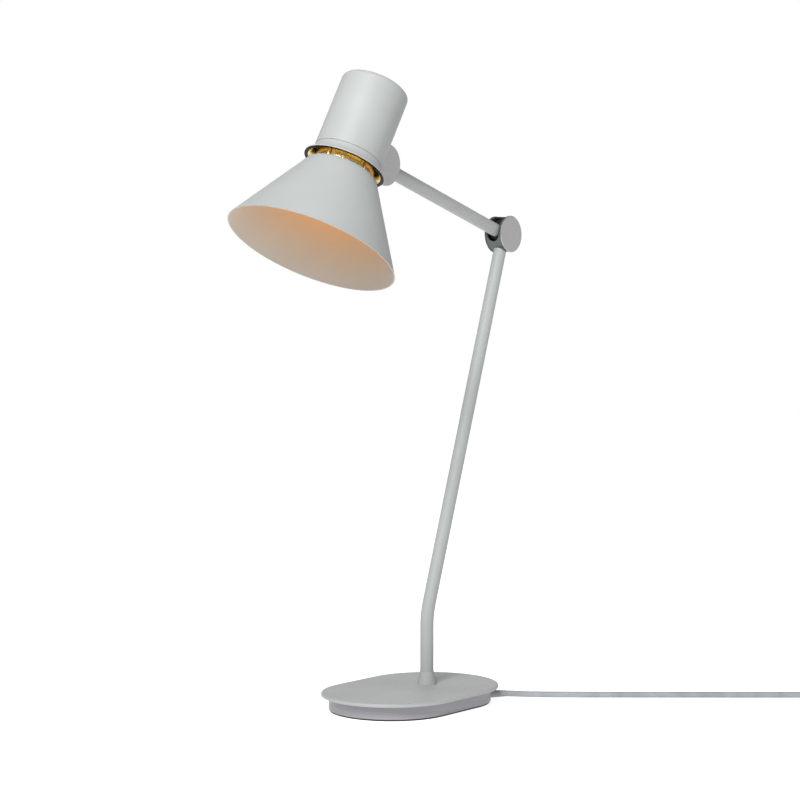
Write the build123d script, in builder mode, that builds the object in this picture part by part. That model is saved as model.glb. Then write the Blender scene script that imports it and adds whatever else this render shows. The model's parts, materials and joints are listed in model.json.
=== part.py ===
"""Architect desk lamp: a stadium-shaped weighted base, a cranked stem, an arm on
a friction elbow and a conical shade that hangs below a capped, flared collar.

The lamp stands on the XY plane with the centre of its base at the origin.
X is across the lamp, -Y is the way the shade points and +Z is up.
All sizes are in millimetres.
"""

from build123d import *
import math
import os

# ---------------------------------------------------------------- driving sizes

# base
BASE_LENGTH = 190.0
BASE_WIDTH = 132.0
PAD_THICKNESS = 1.5
PAD_INSET = 1.0
SKIRT_HEIGHT = 12.3
SKIRT_INSET = 7.2
SKIRT_WALL = 2.0
PLATE_THICKNESS = 3.2
PLATE_EDGE = 1.2
COVER_THICKNESS = 1.2
WEIGHT_GAP = 0.4
WEIGHT_SIDE_GAP = 1.0
CHANNEL_WIDTH = 32.0
FOOT_CLEAR_RADIUS = 18.0
BASE_SCREW_SHARE = 0.64  # the screws' spacing, of the base's width
BASE_SCREW_DEPTH = 1.1
BASE_SCREW_DIA = 4.0
BASE_SCREW_HEAD = 8.0
STUD_DIA = 9.0
STUD_LENGTH = 4.0

# stem and arm
TUBE_DIA = 12.7
TUBE_WALL = 1.4
STEM_Y = 25.0
STEM_LEAN = 18.8
STEM_BEND_RADIUS = 70.0
BOSS_FLARE = 3.15  # how far the boss stands out from the tube, at its foot
BOSS_LIP = 0.45  # and at its top
BOSS_HEIGHT = 12.0
NIPPLE_GAP = 0.15
NIPPLE_WALL = 1.3
NIPPLE_IN_TUBE = 18.0
ELBOW_Y = 150.0
ELBOW_Z = 451.0
ARM_LENGTH = 205.6
ARM_RISE = 15.7
HEAD_TWIST = -4.8  # the head's turn about the arm's own line
WIRE_DIA = 3.6
WIRE_BEND = 4.0

# friction joints, one at each end of the arm
DISC_THICKNESS = 1.2
DISC_BEVEL = 0.5
DISC_LIP = 0.5
SPIGOT_DEPTH = 0.8
JOINT_BORE_RADIUS = 15.0
ELBOW_RIM = 3.2
HEAD_RIM = 4.2
HUB_GAP = 0.4
HUB_WALL = 1.05
WASHER_THICKNESS = 0.6
WASHER_GAP = 0.1
WASHER_DROP = 1.6
AXLE_RADIUS = 3.0
AXLE_IN_DISC = 1.3
AXLE_CHAMFER = 0.2
TUBE_STOP = 6.0
STEM_SEAT = 0.6
WIRE_HOLE_RADIUS = 4.5
WINDOW_CLEAR = 0.5
ELBOW_DOWN = 18.0
ELBOW_UP = 60.0
HEAD_BACK = 45.0
HEAD_OUT = 50.0

# head, measured along its own axis from the mouth of the shade
HEAD_TILT = 26.4
JOINT_STANDOFF = 8.8
JOINT_HEIGHT = 110.5
MOUTH_RADIUS = 79.4
SHADE_TOP_STEP = 0.6
SHADE_HEIGHT = 80.3
SHADE_SHEET = 1.0
SHADE_ROLL = 5.0
SHADE_FLANGE = 5.0
BRIM_GAP = 4.0
BRIM_STEP = 6.2
BRIM_LIP = 1.0
COLLAR_HEIGHT = 10.7
COLLAR_WALL = 1.1
COLLAR_TOP_STEP = 0.3
FLARE_STEP = 1.7
FLARE_SHARE = 0.47  # of the collar's height, to the flare's middle
FLARE_SHEET = (0.7, 1.3)
WEB_HALF = 6.0
WEB_BITE = 1.0
SPIGOT_HEIGHT = 6.0
SPIGOT_WALL = 2.5
LEDGE_DROP = 2.5
REFLECTOR_SHEET = 0.6
HALO_SHEET = 0.5
HALO_IN_COLLAR = 1.0
CAP_RADIUS = 32.0
CAP_HEIGHT = 73.7
CAP_WALL = 1.2
CAP_ROLL = 4.5
NOTCH_CLEAR = 0.6
POST_COUNT = 5
POST_RADIUS = 1.2
POST_INSET = 3.1
POST_START = 9.0

# lamp holder and bulb
BULB_TIP = 34.0
BULB_RADIUS = 30.0
BULB_GLASS_HEIGHT = 83.0
BULB_SHEET = 1.0
BULB_NECK_LEAN = 35.0
BULB_NECK_RADIUS = 13.6
BULB_BASE_RADIUS = 13.1
BULB_BASE_LENGTH = 24.0
HOLDER_RADIUS = 19.0
HOLDER_LENGTH = 33.5
HOLDER_ROOF = 4.0
SLEEVE_WALL = 0.5
SLEEVE_CLEAR = 0.2
SLEEVE_LIFT = 1.0
BRACKET_SHEET = 1.5
BRACKET_EDGE = 2.4  # the strap left beside the nipple's hole
BRACKET_GAP = 0.3
BRACKET_SCREW_RADIUS = 1.5

# push switch in the top of the cap
SWITCH_RADIUS = 6.0
SWITCH_LENGTH = 10.0
SWITCH_NECK_RADIUS = 4.0
SWITCH_NECK_LENGTH = 4.0
SWITCH_NUT_RADIUS = 6.5
SWITCH_NUT_HEIGHT = 1.6
BUTTON_RADIUS = 3.4
BUTTON_PROUD = 3.6
BUTTON_TRAVEL = 2.0
BUTTON_FIT = 0.05

# mains lead
CORD_DIA = 5.8
CORD_LIFT = 0.05
COIL_LIFT = 1.0
GLAND_ANGLE = 50.0
GLAND_Z = 4.5
GLAND_FLANGE_DIA = 8.8
GLAND_SLEEVE_DIA = 7.4
GLAND_FLANGE = 1.5
GLAND_RIM_DIA = 8.2
GLAND_RIM = 0.8
GLAND_NOSE = 15.5
GLAND_NOSE_WALL = 0.15
COIL_MEAN_RADIUS = 32.0
COIL_COLUMNS = 2
COIL_LAYERS = 4
PLUG_LENGTH = 35.0
PLUG_WIDTH = 26.0
PLUG_HEIGHT = 13.6
PIN_DIA = 4.0
PIN_LENGTH = 19.0
PIN_SPACING = 18.6

# foot fastening
NUT_HEIGHT = 5.0
NUT_FLATS_RADIUS = 8.5
WASHER_HEIGHT = 1.5
FOOT_WASHER_RADIUS = 11.0

# wiring in the base
BLOCK_LENGTH = 14.0
BLOCK_WIDTH = 16.0
BLOCK_HEIGHT = 8.6
BLOCK_DISTANCE = 23.0
CLAMP_DISTANCE = 42.0
CLAMP_LENGTH = 8.0
CLAMP_WIDTH = 22.0
CLAMP_SCREW_SPACING = 14.0
CLAMP_SCREW_DIA = 3.0

# holder bracket and lamp holder details
STRAP_BEND = 2.5
SCREW_HEAD_RADIUS = 2.6
SCREW_HEAD_HEIGHT = 1.6
HOLDER_ROLL = 3.0
CONTACT_RADIUS = 4.5
CONTACT_LENGTH = 2.0
CONTACT_STRIP = 1.0
INSULATOR_GAP = 0.5
HOLDER_NUT = 2.5
NUT_FLATS = 7.0
BASE_TAPER = 3.0

# switch details
SWITCH_FLOOR = 2.0
BUTTON_FLANGE = 1.0
BUTTON_FLANGE_HEIGHT = 1.5
BUTTON_ROUND = 1.0
SWITCH_ROOF = 1.0

# coil tie and plug details
TIE_WIDTH = 8.0
TIE_SHEET = 0.8
TIE_SIDE_GAP = 0.5
TIE_END_GAP = 0.1
TIE_CORNER = 2.0
RELIEF_LENGTH = 14.0
RELIEF_BASE_RADIUS = 4.6
RELIEF_WALL = 0.5
PLUG_CORNER = 5.0
PLUG_NOSE = 20.0

# clearances
FIT = 0.05
EASY = 0.2

# ------------------------------------------------------------- derived stations

SKIRT_BOTTOM = PAD_THICKNESS
SKIRT_TOP = SKIRT_BOTTOM + SKIRT_HEIGHT
PLATE_TOP = SKIRT_TOP + PLATE_THICKNESS
COVER_TOP = SKIRT_BOTTOM + COVER_THICKNESS
SKIRT_LENGTH = BASE_LENGTH - 2 * SKIRT_INSET
SKIRT_WIDTH = BASE_WIDTH - 2 * SKIRT_INSET
INNER_LENGTH = SKIRT_LENGTH - 2 * SKIRT_WALL
INNER_WIDTH = SKIRT_WIDTH - 2 * SKIRT_WALL
REAR_ARC_Y = (BASE_LENGTH - BASE_WIDTH) / 2
BASE_SCREW_SPACING = BASE_WIDTH * BASE_SCREW_SHARE

TUBE_RADIUS = TUBE_DIA / 2
TUBE_BORE = TUBE_RADIUS - TUBE_WALL
BOSS_RADIUS = TUBE_RADIUS + BOSS_FLARE
BOSS_TOP_RADIUS = TUBE_RADIUS + BOSS_LIP
NIPPLE_RADIUS = TUBE_BORE - NIPPLE_GAP
NIPPLE_BORE = NIPPLE_RADIUS - NIPPLE_WALL
HUB_HALF_WIDTH = TUBE_RADIUS + HUB_WALL
BARREL_HALF = HUB_HALF_WIDTH + WASHER_THICKNESS + WASHER_GAP + SPIGOT_DEPTH
JOINT_HALF = BARREL_HALF + DISC_THICKNESS
HUB_RADIUS = JOINT_BORE_RADIUS - HUB_GAP
WASHER_RADIUS = HUB_RADIUS - WASHER_DROP
ELBOW_DISC_RADIUS = JOINT_BORE_RADIUS + ELBOW_RIM
HEAD_DISC_RADIUS = JOINT_BORE_RADIUS + HEAD_RIM
WINDOW_RADIUS = TUBE_RADIUS + WINDOW_CLEAR

ELBOW = Vector(0, ELBOW_Y, ELBOW_Z)
STEM_DIRECTION = Vector(0, math.sin(math.radians(STEM_LEAN)), math.cos(math.radians(STEM_LEAN)))
ARM_DIRECTION = Vector(0, -math.cos(math.radians(ARM_RISE)), math.sin(math.radians(ARM_RISE)))
HEAD_JOINT = ELBOW + ARM_DIRECTION * ARM_LENGTH
ARM_AXIS = Axis(tuple(ELBOW), tuple(ARM_DIRECTION))
HEAD_OFFSET = CAP_RADIUS + JOINT_STANDOFF
STEM_FOOT = Vector(0, STEM_Y, PLATE_TOP)
BEND_POINT = ELBOW - STEM_DIRECTION * ((ELBOW_Y - STEM_Y) / STEM_DIRECTION.Y)

HEAD_UP = Vector(0, math.sin(math.radians(HEAD_TILT)), math.cos(math.radians(HEAD_TILT)))
HEAD_BACKWARD = Vector(0, math.cos(math.radians(HEAD_TILT)), -math.sin(math.radians(HEAD_TILT)))
MOUTH = HEAD_JOINT - HEAD_BACKWARD * HEAD_OFFSET - HEAD_UP * JOINT_HEIGHT
HEAD_AXIS = Axis(tuple(MOUTH), tuple(HEAD_UP))
HEAD_SECTION = Plane(origin=MOUTH, x_dir=(1, 0, 0), z_dir=HEAD_UP.cross(Vector(1, 0, 0)) * -1)

SHADE_TOP_RADIUS = CAP_RADIUS + SHADE_TOP_STEP
SHADE_FLANGE_RADIUS = SHADE_TOP_RADIUS - SHADE_FLANGE
POST_CIRCLE = SHADE_TOP_RADIUS - POST_INSET
BRIM_RADIUS = CAP_RADIUS + BRIM_STEP
BRIM = SHADE_HEIGHT + BRIM_GAP
SEAM = BRIM + COLLAR_HEIGHT
LEDGE = SEAM - LEDGE_DROP
SPIGOT_TOP = SEAM + SPIGOT_HEIGHT
SPIGOT_RADIUS = CAP_RADIUS - CAP_WALL - EASY / 2
LEDGE_RADIUS = SPIGOT_RADIUS - SPIGOT_WALL
CAP_TOP = SEAM + CAP_HEIGHT
BULB_BASE = BULB_TIP + BULB_GLASS_HEIGHT
HOLDER_TOP = BULB_BASE + HOLDER_LENGTH
BRACKET_TOP = HOLDER_TOP + BRACKET_SHEET
SWITCH_SEAT = CAP_TOP - CAP_WALL
BRACKET_WIDTH = 2 * (NIPPLE_RADIUS + BRACKET_EDGE)
BRACKET_HALF_SPAN = math.sqrt(LEDGE_RADIUS**2 - (BRACKET_WIDTH / 2) ** 2) - BRACKET_GAP
BRACKET_LEG = BRACKET_HALF_SPAN - BRACKET_SHEET
BRACKET_FOOT = SEAM - LEDGE_DROP / 2
BRACKET_SCREW_HEIGHT = (BRACKET_FOOT + SPIGOT_TOP) / 2

GLAND_DIRECTION = Vector(math.cos(math.radians(GLAND_ANGLE)), math.sin(math.radians(GLAND_ANGLE)), 0)
ARC_CENTRE = Vector(0, REAR_ARC_Y, 0)
GLAND_FACE = SKIRT_WIDTH / 2
INNER_FACE = INNER_WIDTH / 2
GLAND_INSIDE = INNER_FACE - GLAND_FLANGE - EASY
CORD_RADIUS = CORD_DIA / 2
LEAD_START = BLOCK_DISTANCE + BLOCK_LENGTH / 2
CORD_Z = CORD_RADIUS + CORD_LIFT


def head_plane(height):
    """A plane across the head at a height above the mouth, with its own y to the back."""
    return Plane(origin=MOUTH + HEAD_UP * height, x_dir=(1, 0, 0), z_dir=HEAD_UP)


def joint_plane(centre, x=0.0):
    """A plane across a joint's axle, with its own x along +Y and its y along +Z."""
    return Plane(origin=centre + Vector(x, 0, 0), x_dir=(0, 1, 0), z_dir=(1, 0, 0))


def along(origin, direction, distance=0.0):
    """A plane square to a direction, with its own x along the lamp's X."""
    return Plane(origin=origin + direction * distance, x_dir=(1, 0, 0), z_dir=direction)


def radial_plane(distance, z):
    """A plane square to the cord's way out, at a distance from the rear arc's centre."""
    origin = ARC_CENTRE + GLAND_DIRECTION * distance + Vector(0, 0, z)
    return Plane(origin=origin, x_dir=(0, 0, 1), z_dir=GLAND_DIRECTION)


def chamber_plane(distance, z):
    """A level plane in the wiring channel, with its own x along the channel."""
    origin = ARC_CENTRE + GLAND_DIRECTION * distance + Vector(0, 0, z)
    return Plane(origin=origin, x_dir=GLAND_DIRECTION, z_dir=(0, 0, 1))


def save(part, name):
    """Label a finished piece and write it."""
    part.label = name
    export_step(part, f"parts/{name}.step")


def save_on_head(part, name):
    """Turn a piece of the head or of its joint by the head's twist, and write it."""
    save(part.rotate(ARM_AXIS, HEAD_TWIST), name)


def head_turning(points, radii):
    """A piece of the head turned from a closed outline of (radius, height) points."""
    with BuildPart() as turned:
        with BuildSketch(HEAD_SECTION):
            with BuildLine():
                FilletPolyline(*points, radius=radii, close=True)
            make_face()
        revolve(axis=HEAD_AXIS)
    return turned.part


os.makedirs("parts", exist_ok=True)

# ------------------------------------------------------------------------- base


def base_screw_sites():
    """The four base screws stand on a square about the base's centre."""
    return GridLocations(BASE_SCREW_SPACING, BASE_SCREW_SPACING, 2, 2)


with BuildPart() as base_plate:
    with BuildSketch(Plane.XY.offset(SKIRT_TOP)):
        SlotOverall(BASE_LENGTH, BASE_WIDTH, rotation=90)
    extrude(amount=PLATE_THICKNESS)
    fillet(base_plate.faces().sort_by(Axis.Z)[-1].edges(), PLATE_EDGE)
    fillet(base_plate.faces().sort_by(Axis.Z)[0].edges(), PLATE_EDGE / 2)
    with BuildSketch(Plane.XY.offset(SKIRT_TOP)):
        with base_screw_sites():
            Circle(STUD_DIA / 2)
    extrude(amount=-STUD_LENGTH)
    with BuildSketch(Plane.XY.offset(SKIRT_TOP - STUD_LENGTH)):
        with base_screw_sites():
            Circle(BASE_SCREW_DIA / 2 + FIT)
    extrude(amount=STUD_LENGTH + BASE_SCREW_DEPTH, mode=Mode.SUBTRACT)
    with BuildSketch(Plane.XY.offset(SKIRT_TOP)):
        with Locations((0, STEM_Y)):
            Circle(NIPPLE_RADIUS + EASY / 2)
    extrude(amount=PLATE_THICKNESS, mode=Mode.SUBTRACT)
save(base_plate.part, "base_plate")

with BuildPart() as base_skirt:
    with BuildSketch(Plane.XY.offset(SKIRT_BOTTOM)):
        SlotOverall(SKIRT_LENGTH, SKIRT_WIDTH, rotation=90)
        SlotOverall(INNER_LENGTH, INNER_WIDTH, rotation=90, mode=Mode.SUBTRACT)
    extrude(amount=SKIRT_HEIGHT)
    with BuildSketch(radial_plane(INNER_WIDTH / 2 - SKIRT_WALL, GLAND_Z)):
        Circle(GLAND_SLEEVE_DIA / 2 + FIT)
    extrude(amount=3 * SKIRT_WALL, mode=Mode.SUBTRACT)
save(base_skirt.part, "base_skirt")

with BuildPart() as base_pad:
    with BuildSketch():
        SlotOverall(SKIRT_LENGTH - 2 * PAD_INSET, SKIRT_WIDTH - 2 * PAD_INSET, rotation=90)
    extrude(amount=PAD_THICKNESS)
    with BuildSketch(radial_plane(INNER_FACE - 3 * GLAND_FLANGE, GLAND_Z)):
        Circle(GLAND_FLANGE_DIA / 2 + EASY)
    extrude(amount=SKIRT_WALL + 3 * GLAND_FLANGE, mode=Mode.SUBTRACT)
save(base_pad.part, "base_pad")


def screw_outline(gap):
    """Half the outline of a countersunk base screw, its head down, opened out by a gap."""
    neck = BASE_SCREW_DIA / 2 + gap
    head = BASE_SCREW_HEAD / 2 + gap
    top = SKIRT_TOP + BASE_SCREW_DEPTH
    return [
        (0, SKIRT_BOTTOM),
        (head, SKIRT_BOTTOM),
        (neck, SKIRT_BOTTOM + head - neck),
        (neck, top),
        (0, top),
    ]


with BuildPart() as screw_way:
    with BuildSketch(Plane.XZ):
        Polygon(*screw_outline(2 * EASY), align=None)
    revolve(axis=Axis.Z)

with BuildPart() as base_cover:
    with BuildSketch(Plane.XY.offset(SKIRT_BOTTOM)):
        SlotOverall(INNER_LENGTH - 2 * EASY, INNER_WIDTH - 2 * EASY, rotation=90)
    extrude(amount=COVER_THICKNESS)
    with base_screw_sites():
        add(screw_way.part, mode=Mode.SUBTRACT)
    with BuildSketch(chamber_plane(LEAD_START - EASY, SKIRT_BOTTOM)):
        Rectangle(SKIRT_WIDTH, CORD_DIA + 2 * EASY, align=(Align.MIN, Align.CENTER))
    extrude(amount=COVER_THICKNESS, mode=Mode.SUBTRACT)
    with BuildSketch(radial_plane(INNER_FACE - 3 * GLAND_FLANGE, GLAND_Z)):
        Circle(GLAND_FLANGE_DIA / 2 + EASY)
    extrude(amount=SKIRT_WALL + 3 * GLAND_FLANGE, mode=Mode.SUBTRACT)
save(base_cover.part, "base_cover")

WEIGHT_BOTTOM = COVER_TOP + EASY
WEIGHT_TOP = SKIRT_TOP - WEIGHT_GAP
WIRE_Z = WEIGHT_BOTTOM + WIRE_DIA / 2 + EASY
WIRE_OUT = BLOCK_DISTANCE - BLOCK_LENGTH / 2 - 3 * EASY
WIRE_START = ARC_CENTRE + GLAND_DIRECTION * WIRE_OUT + Vector(0, 0, WIRE_Z)
WIRE_TURN = Vector(0, STEM_Y, WIRE_Z)
WIRE_RUN = WIRE_TURN - WIRE_START
WIRE_HEADING = WIRE_RUN.normalized()
with BuildPart() as base_weight:
    with BuildSketch(Plane.XY.offset(WEIGHT_BOTTOM)):
        SlotOverall(
            INNER_LENGTH - 2 * WEIGHT_SIDE_GAP, INNER_WIDTH - 2 * WEIGHT_SIDE_GAP, rotation=90
        )
        with Locations((0, STEM_Y)):
            Circle(FOOT_CLEAR_RADIUS, mode=Mode.SUBTRACT)
    extrude(amount=WEIGHT_TOP - WEIGHT_BOTTOM)
    with BuildSketch(chamber_plane(0, WEIGHT_BOTTOM)):
        Rectangle(SKIRT_WIDTH, CHANNEL_WIDTH, align=(Align.MIN, Align.CENTER))
    extrude(amount=WEIGHT_TOP - WEIGHT_BOTTOM, mode=Mode.SUBTRACT)
    with BuildSketch(Plane(origin=WIRE_START, x_dir=WIRE_HEADING, z_dir=(0, 0, 1))):
        Rectangle(WIRE_RUN.length, CHANNEL_WIDTH, align=(Align.MIN, Align.CENTER))
    extrude(amount=WEIGHT_TOP, both=True, mode=Mode.SUBTRACT)
    with base_screw_sites():
        add(screw_way.part, mode=Mode.SUBTRACT)
    with BuildSketch(Plane.XY.offset(SKIRT_TOP - STUD_LENGTH - EASY)):
        with base_screw_sites():
            Circle(STUD_DIA / 2 + 2 * EASY)
    extrude(amount=STUD_LENGTH, mode=Mode.SUBTRACT)
save(base_weight.part, "base_weight")

with BuildPart() as base_screw:
    with BuildSketch(Plane.XZ):
        Polygon(*screw_outline(0), align=None)
    revolve(axis=Axis.Z)

with BuildPart() as base_screws:
    with base_screw_sites():
        add(base_screw.part)
save(base_screws.part, "base_screws")

# ------------------------------------------------------------------------- stem

with BuildPart() as stem_boss:
    with BuildSketch(Plane.XY.offset(PLATE_TOP)):
        with Locations((0, STEM_Y)):
            Circle(BOSS_RADIUS)
    with BuildSketch(Plane.XY.offset(PLATE_TOP + BOSS_HEIGHT)):
        with Locations((0, STEM_Y)):
            Circle(BOSS_TOP_RADIUS)
    loft()
    with BuildSketch(Plane.XY.offset(PLATE_TOP)):
        with Locations((0, STEM_Y)):
            Circle(TUBE_RADIUS + FIT)
    extrude(amount=BOSS_HEIGHT, mode=Mode.SUBTRACT)
save(stem_boss.part, "stem_boss")

STEM_END = ELBOW - STEM_DIRECTION * (JOINT_BORE_RADIUS + STEM_SEAT)
with BuildPart() as stem_tube:
    with BuildLine() as stem_path:
        FilletPolyline(STEM_FOOT, BEND_POINT, STEM_END, radius=STEM_BEND_RADIUS)
    with BuildSketch(along(STEM_FOOT, Vector(0, 0, 1))):
        Circle(TUBE_RADIUS)
        Circle(TUBE_BORE, mode=Mode.SUBTRACT)
    sweep(path=stem_path.line)
save(stem_tube.part, "stem_tube")

NIPPLE_BOTTOM = SKIRT_TOP - WASHER_HEIGHT - NUT_HEIGHT

with BuildPart() as stem_nipple:
    with BuildSketch(Plane.XY.offset(NIPPLE_BOTTOM)):
        with Locations((0, STEM_Y)):
            Circle(NIPPLE_RADIUS)
            Circle(NIPPLE_BORE, mode=Mode.SUBTRACT)
    extrude(amount=PLATE_TOP + NIPPLE_IN_TUBE - NIPPLE_BOTTOM)
save(stem_nipple.part, "stem_nipple")

with BuildPart() as stem_washer:
    with BuildSketch(Plane.XY.offset(SKIRT_TOP - WASHER_HEIGHT)):
        with Locations((0, STEM_Y)):
            Circle(FOOT_WASHER_RADIUS)
            Circle(NIPPLE_RADIUS + EASY / 2, mode=Mode.SUBTRACT)
    extrude(amount=WASHER_HEIGHT)
save(stem_washer.part, "stem_washer")

with BuildPart() as stem_nut:
    with BuildSketch(Plane.XY.offset(SKIRT_TOP - WASHER_HEIGHT - NUT_HEIGHT)):
        with Locations((0, STEM_Y)):
            RegularPolygon(NUT_FLATS_RADIUS, 6, major_radius=False)
            Circle(NIPPLE_RADIUS + FIT, mode=Mode.SUBTRACT)
    extrude(amount=NUT_HEIGHT)
save(stem_nut.part, "stem_nut")

# --------------------------------------------------------- wiring inside the base

CHAMBER_FLOOR = WEIGHT_BOTTOM

with BuildPart() as terminal_block:
    with BuildSketch(chamber_plane(BLOCK_DISTANCE, CHAMBER_FLOOR)):
        Rectangle(BLOCK_LENGTH, BLOCK_WIDTH)
    extrude(amount=BLOCK_HEIGHT)
    with BuildSketch(chamber_plane(BLOCK_DISTANCE, CHAMBER_FLOOR + BLOCK_HEIGHT)):
        with GridLocations(BLOCK_LENGTH / 2, BLOCK_WIDTH / 2, 2, 2):
            Circle(CLAMP_SCREW_DIA / 2 + FIT)
    extrude(amount=-BLOCK_HEIGHT / 2, mode=Mode.SUBTRACT)
save(terminal_block.part, "terminal_block")

with BuildPart() as terminal_screws:
    with BuildSketch(chamber_plane(BLOCK_DISTANCE, CHAMBER_FLOOR + BLOCK_HEIGHT / 2)):
        with GridLocations(BLOCK_LENGTH / 2, BLOCK_WIDTH / 2, 2, 2):
            Circle(CLAMP_SCREW_DIA / 2)
    extrude(amount=BLOCK_HEIGHT / 2 - EASY)
save(terminal_screws.part, "terminal_screws")

with BuildPart() as cord_clamp:
    with BuildSketch(chamber_plane(CLAMP_DISTANCE, CHAMBER_FLOOR)):
        Rectangle(CLAMP_LENGTH, CLAMP_WIDTH)
        with GridLocations(0, CLAMP_SCREW_SPACING, 1, 2):
            Circle(CLAMP_SCREW_DIA / 2 + FIT, mode=Mode.SUBTRACT)
    extrude(amount=SKIRT_TOP - CHAMBER_FLOOR)
    with BuildSketch(radial_plane(CLAMP_DISTANCE - CLAMP_LENGTH, GLAND_Z)):
        Circle(CORD_RADIUS + FIT)
    extrude(amount=2 * CLAMP_LENGTH, mode=Mode.SUBTRACT)
save(cord_clamp.part, "cord_clamp")

with BuildPart() as clamp_screws:
    with BuildSketch(chamber_plane(CLAMP_DISTANCE, CHAMBER_FLOOR + EASY)):
        with GridLocations(0, CLAMP_SCREW_SPACING, 1, 2):
            Circle(CLAMP_SCREW_DIA / 2)
    extrude(amount=SKIRT_TOP - CHAMBER_FLOOR - EASY)
save(clamp_screws.part, "clamp_screws")

with BuildPart() as inner_lead:
    with BuildSketch(radial_plane(LEAD_START, GLAND_Z)):
        Circle(CORD_RADIUS)
    extrude(amount=GLAND_INSIDE - LEAD_START)
save(inner_lead.part, "inner_lead")

with BuildPart() as stem_wire:
    with BuildLine() as wire_path:
        FilletPolyline(
            WIRE_START, WIRE_TURN, BEND_POINT, STEM_END, radius=[WIRE_BEND, STEM_BEND_RADIUS]
        )
    with BuildSketch(Plane(origin=WIRE_START, z_dir=WIRE_HEADING)):
        Circle(WIRE_DIA / 2)
    sweep(path=wire_path.line)
save(stem_wire.part, "stem_wire")

# -------------------------------------------------------------- arm and its joints


def barrel_window(centre, direction, down, up):
    """The round-ended slot that the arm swings in, from one limit to the other."""
    rest = math.degrees(math.atan2(direction.Z, direction.Y))
    inner = JOINT_BORE_RADIUS / 2
    outer = HEAD_DISC_RADIUS * 2
    with BuildPart() as window:
        for swing in (-down, up):
            turned = math.radians(rest + swing)
            way = Vector(0, math.cos(turned), math.sin(turned))
            with BuildSketch(along(centre, way, inner)):
                Circle(WINDOW_RADIUS)
            extrude(amount=outer - inner)
        with BuildSketch(joint_plane(centre, -WINDOW_RADIUS)):
            with BuildLine():
                first = math.radians(rest - down)
                middle = math.radians(rest + (up - down) / 2)
                last = math.radians(rest + up)
                corners = [(math.cos(a) * outer, math.sin(a) * outer) for a in (first, middle, last)]
                Line((0, 0), corners[0])
                ThreePointArc(*corners)
                Line(corners[2], (0, 0))
            make_face()
            Circle(inner, mode=Mode.SUBTRACT)
        extrude(amount=2 * WINDOW_RADIUS)
    return window.part


def joint_disc(centre, side, radius):
    """An end disc of a joint: a bevelled face, a shallow spigot and a seat for the axle."""
    inner_face = centre + Vector(side * (BARREL_HALF - SPIGOT_DEPTH), 0, 0)
    outward = Plane(origin=inner_face, x_dir=(0, 1, 0), z_dir=(side, 0, 0))
    with BuildPart() as disc:
        with BuildSketch(outward):
            Circle(JOINT_BORE_RADIUS - FIT)
        extrude(amount=SPIGOT_DEPTH)
        with BuildSketch(outward.offset(SPIGOT_DEPTH)):
            Circle(radius)
        extrude(amount=DISC_THICKNESS)
        chamfer(disc.faces().sort_by(Axis.X)[-1 if side > 0 else 0].edges(), DISC_BEVEL)
        with BuildSketch(outward):
            Circle(AXLE_RADIUS + FIT / 2)
        extrude(amount=AXLE_IN_DISC, mode=Mode.SUBTRACT)
    return disc.part


def joint_axle(centre):
    """The plain axle that the two discs hold between them."""
    half = BARREL_HALF - SPIGOT_DEPTH + AXLE_IN_DISC
    with BuildPart() as axle:
        with BuildSketch(joint_plane(centre)):
            Circle(AXLE_RADIUS)
        extrude(amount=half, both=True)
        chamfer(axle.edges().filter_by(GeomType.CIRCLE), AXLE_CHAMFER)
    return axle.part


def joint_hub(centre, direction):
    """The round boss on the arm's end, bored for the axle and socketed for the tube."""
    with BuildPart() as hub:
        with BuildSketch(joint_plane(centre)):
            Circle(HUB_RADIUS)
            Circle(AXLE_RADIUS + FIT, mode=Mode.SUBTRACT)
        extrude(amount=HUB_HALF_WIDTH, both=True)
        with BuildSketch(along(centre, direction, TUBE_STOP)):
            Circle(TUBE_RADIUS + FIT / 2)
        extrude(amount=HUB_RADIUS, mode=Mode.SUBTRACT)
    return hub.part


def joint_washers(centre):
    """The two friction washers between a hub and its end discs."""
    with BuildPart() as washers:
        for side in (-1, 1):
            face = joint_plane(centre, side * HUB_HALF_WIDTH)
            with BuildSketch(face):
                Circle(WASHER_RADIUS)
                Circle(AXLE_RADIUS + EASY, mode=Mode.SUBTRACT)
            extrude(amount=side * WASHER_THICKNESS)
    return washers.part


with BuildPart() as elbow_barrel:
    with BuildSketch(joint_plane(ELBOW)):
        Circle(ELBOW_DISC_RADIUS - DISC_LIP)
        Circle(JOINT_BORE_RADIUS, mode=Mode.SUBTRACT)
    extrude(amount=BARREL_HALF, both=True)
    add(barrel_window(ELBOW, ARM_DIRECTION, ELBOW_UP, ELBOW_DOWN), mode=Mode.SUBTRACT)
    with BuildSketch(along(ELBOW, STEM_DIRECTION * -1)):
        Circle(WIRE_HOLE_RADIUS)
    extrude(amount=ELBOW_DISC_RADIUS, mode=Mode.SUBTRACT)
    with BuildSketch(along(STEM_END, STEM_DIRECTION * -1)):
        Circle(TUBE_RADIUS + FIT)
    extrude(amount=ELBOW_DISC_RADIUS, mode=Mode.SUBTRACT)
save(elbow_barrel.part, "elbow_barrel")

save(joint_disc(ELBOW, -1, ELBOW_DISC_RADIUS), "elbow_disc_left")
save(joint_disc(ELBOW, 1, ELBOW_DISC_RADIUS), "elbow_disc_right")
save(joint_axle(ELBOW), "elbow_axle")
save(joint_hub(ELBOW, ARM_DIRECTION), "elbow_hub")
save(joint_washers(ELBOW), "elbow_washers")

ARM_TUBE_LENGTH = ARM_LENGTH - 2 * TUBE_STOP
with BuildPart() as arm_tube:
    with BuildSketch(along(ELBOW, ARM_DIRECTION, TUBE_STOP)):
        Circle(TUBE_RADIUS)
        Circle(TUBE_BORE, mode=Mode.SUBTRACT)
    extrude(amount=ARM_TUBE_LENGTH)
save(arm_tube.part, "arm_tube")

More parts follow.
